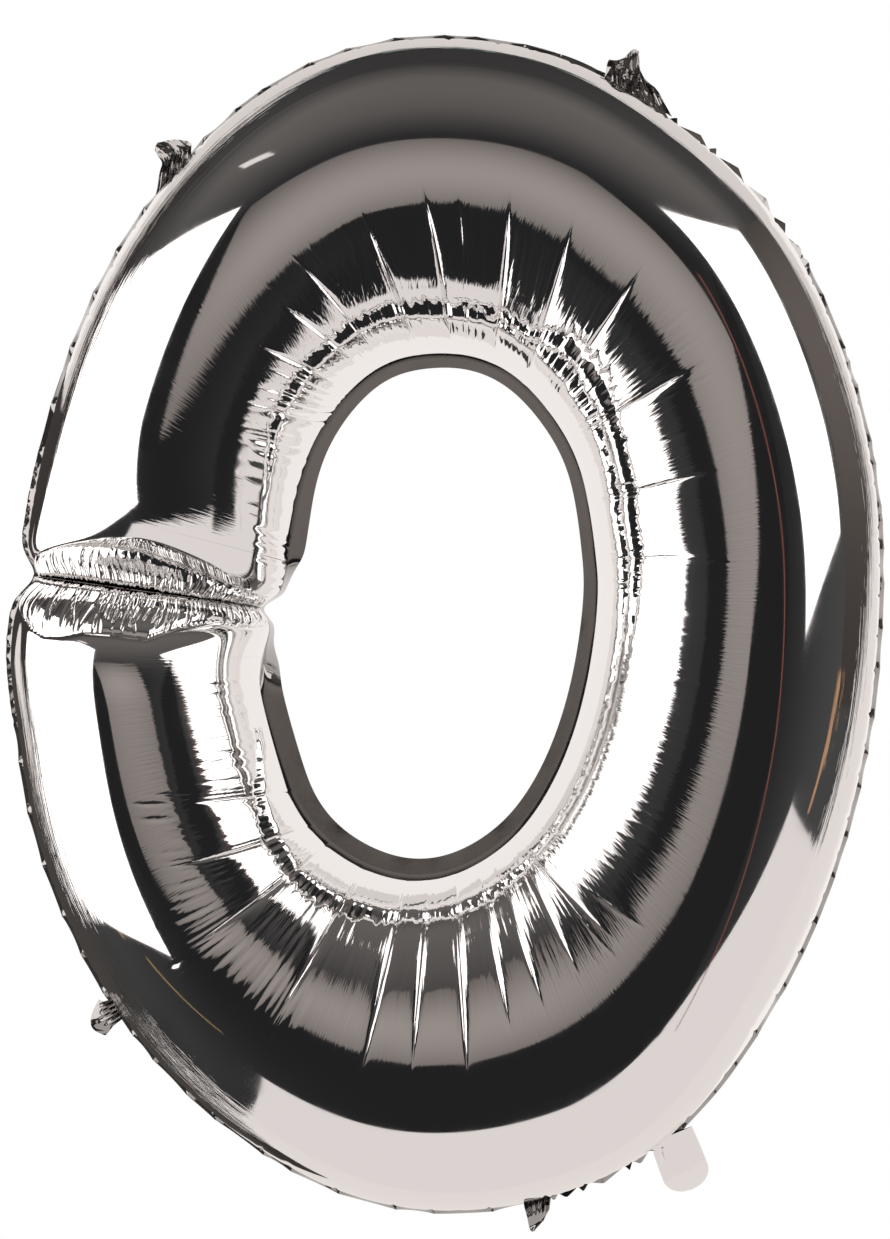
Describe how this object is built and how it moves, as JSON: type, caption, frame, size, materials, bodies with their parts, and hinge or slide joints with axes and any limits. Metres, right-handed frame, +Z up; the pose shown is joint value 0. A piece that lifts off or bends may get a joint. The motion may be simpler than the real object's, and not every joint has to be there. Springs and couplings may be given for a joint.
{
  "type": "letter foil balloon",
  "caption": "Air-filled silver foil balloon shaped as the letter O, with welded edge seams, a cross weld in one stroke, hanging tabs and a flat filling tail.",
  "frame": {"origin": "middle of the letter's outline, in the plane of the seams, where the air in the letter's hole holds it", "axes": "+Z is up the letter, +X to the reader's right, the reader stands at -Y"},
  "size_m": [0.6412, 0.21, 0.8753],
  "materials": {
    "silver_foil": "mirror metallised film",
    "seam_foil": "welded metallised film",
    "valve_plastic": "clear film"
  },
  "bodies": {
    "root": {"front_sheet": "silver_foil", "back_sheet": "silver_foil", "outer_seam": "seam_foil", "hole_seam": "seam_foil", "cross_weld": "seam_foil", "neck_front_ply": "silver_foil", "neck_back_ply": "silver_foil", "valve_film": "valve_plastic", "tab_top_left": "seam_foil", "tab_top_right": "seam_foil", "tab_bottom_left": "seam_foil", "tab_bottom": "seam_foil"}
  },
  "joints": []
}
